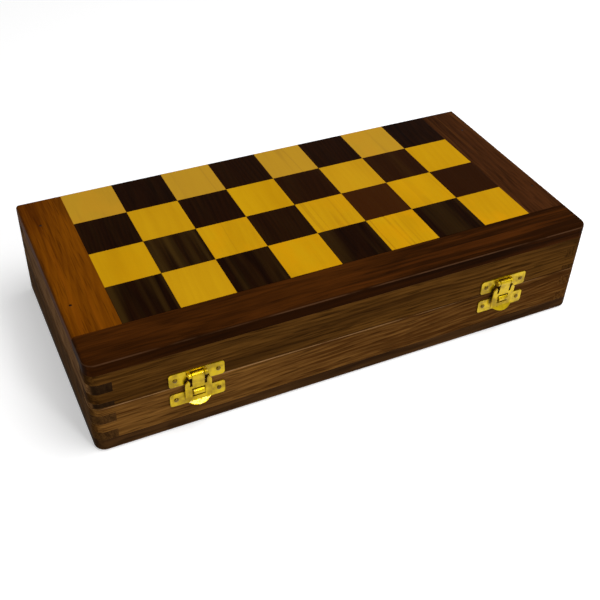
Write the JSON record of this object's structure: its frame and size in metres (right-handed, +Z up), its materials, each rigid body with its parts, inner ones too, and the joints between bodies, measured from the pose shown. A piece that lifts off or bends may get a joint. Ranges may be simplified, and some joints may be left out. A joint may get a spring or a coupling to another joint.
{
  "type": "folding chess board",
  "caption": "Folding wooden chess box: two hinged trays with a squared playing surface outside, bordered on three sides and held shut by brass clasps.",
  "frame": {"origin": "middle of the face that the closed box stands on, measured on the wooden box", "axes": "+X to the right along the length, -Y towards the side with the clasps, +Z up"},
  "size_m": [0.3048, 0.1573, 0.0628],
  "materials": {
    "wall_wood": "satin varnish, grain along the wall",
    "border_wood": "satin varnish, grain along the strip",
    "light_square_wood": "satin varnish, golden",
    "dark_square_wood": "satin varnish, streaked dark brown",
    "core_wood": "plain thin plywood",
    "felt": "short-pile felt",
    "pin_steel": "darkened pin heads",
    "nail_brass": "domed, slightly dulled",
    "hinge_brass": "satin",
    "clasp_brass": "polished sheet"
  },
  "bodies": {
    "base": {"base_front_wall": "wall_wood", "base_back_wall": "wall_wood", "base_left_wall": "wall_wood", "base_right_wall": "wall_wood", "base_front_border": "border_wood", "base_left_border": "border_wood", "base_right_border": "border_wood", "base_core_panel": "core_wood", "base_light_squares": "light_square_wood", "base_dark_squares": "dark_square_wood", "base_felt_lining": "felt", "base_border_pins": "pin_steel", "left_catch": "clasp_brass", "right_catch": "clasp_brass", "catch_nails": "nail_brass", "left_hinge_base_leaf": "hinge_brass", "right_hinge_base_leaf": "hinge_brass", "base_hinge_screws": "hinge_brass", "left_hinge_pin": "hinge_brass", "right_hinge_pin": "hinge_brass"},
    "lid": {"lid_front_wall": "wall_wood", "lid_back_wall": "wall_wood", "lid_left_wall": "wall_wood", "lid_right_wall": "wall_wood", "lid_front_border": "border_wood", "lid_left_border": "border_wood", "lid_right_border": "border_wood", "lid_core_panel": "core_wood", "lid_light_squares": "light_square_wood", "lid_dark_squares": "dark_square_wood", "lid_felt_lining": "felt", "lid_border_pins": "pin_steel", "left_latch_plate": "clasp_brass", "right_latch_plate": "clasp_brass", "latch_plate_nails": "nail_brass", "left_latch_pin": "clasp_brass", "right_latch_pin": "clasp_brass", "left_hinge_lid_leaf": "hinge_brass", "right_hinge_lid_leaf": "hinge_brass", "lid_hinge_screws": "hinge_brass"},
    "left_hasp": {"left_hasp": "clasp_brass"},
    "right_hasp": {"right_hasp": "clasp_brass"}
  },
  "joints": [
    {"name": "lid_hinge", "type": "hinge", "parent": "base", "child": "lid", "pos_m": [0, 0.0749, 0.0314], "axis": [-1, 0, 0], "range_deg": [0, 180]},
    {"name": "left_hasp_swing", "type": "hinge", "parent": "lid", "child": "left_hasp", "pos_m": [-0.0959, -0.0765, 0.0381], "axis": [-1, 0, 0], "range_deg": [0, 150]},
    {"name": "right_hasp_swing", "type": "hinge", "parent": "lid", "child": "right_hasp", "pos_m": [0.0959, -0.0765, 0.0381], "axis": [-1, 0, 0], "range_deg": [0, 150]}
  ]
}
